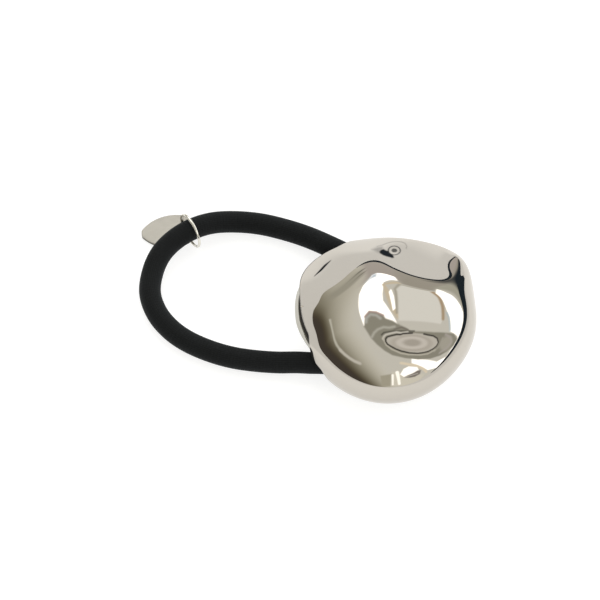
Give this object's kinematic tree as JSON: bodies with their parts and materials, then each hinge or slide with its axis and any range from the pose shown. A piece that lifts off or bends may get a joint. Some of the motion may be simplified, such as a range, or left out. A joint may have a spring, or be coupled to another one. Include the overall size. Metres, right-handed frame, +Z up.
{
  "type": "hair tie with a metal pebble",
  "caption": "Covered elastic loop that runs through a hollow, mirror-polished metal pebble with a flat back plate, and carries a small leaf tag on a jump ring.",
  "frame": {"origin": "on the surface that the hair tie lies on, at the middle of the back plate, under the crown of the pebble", "axes": "+Z up from the back plate to the crown; the elastic loop lies towards -X, so X is the longest extent; +Y towards the flats of the pebble, away from the camera of the picture"},
  "size_m": [0.0767, 0.0549, 0.0195],
  "materials": {
    "polished_shell": "mirror polish, slightly warm",
    "plate_metal": "polished edge, fine satin underside",
    "covered_elastic": "fine knitted cover, soft sheen",
    "ring_metal": "polished wire",
    "tag_metal": "satin faces, dark milled edge"
  },
  "bodies": {
    "root": {"dome_shell": "polished_shell", "back_plate": "plate_metal", "elastic": "covered_elastic", "tag_ring": "ring_metal", "tag": "tag_metal"}
  },
  "joints": []
}
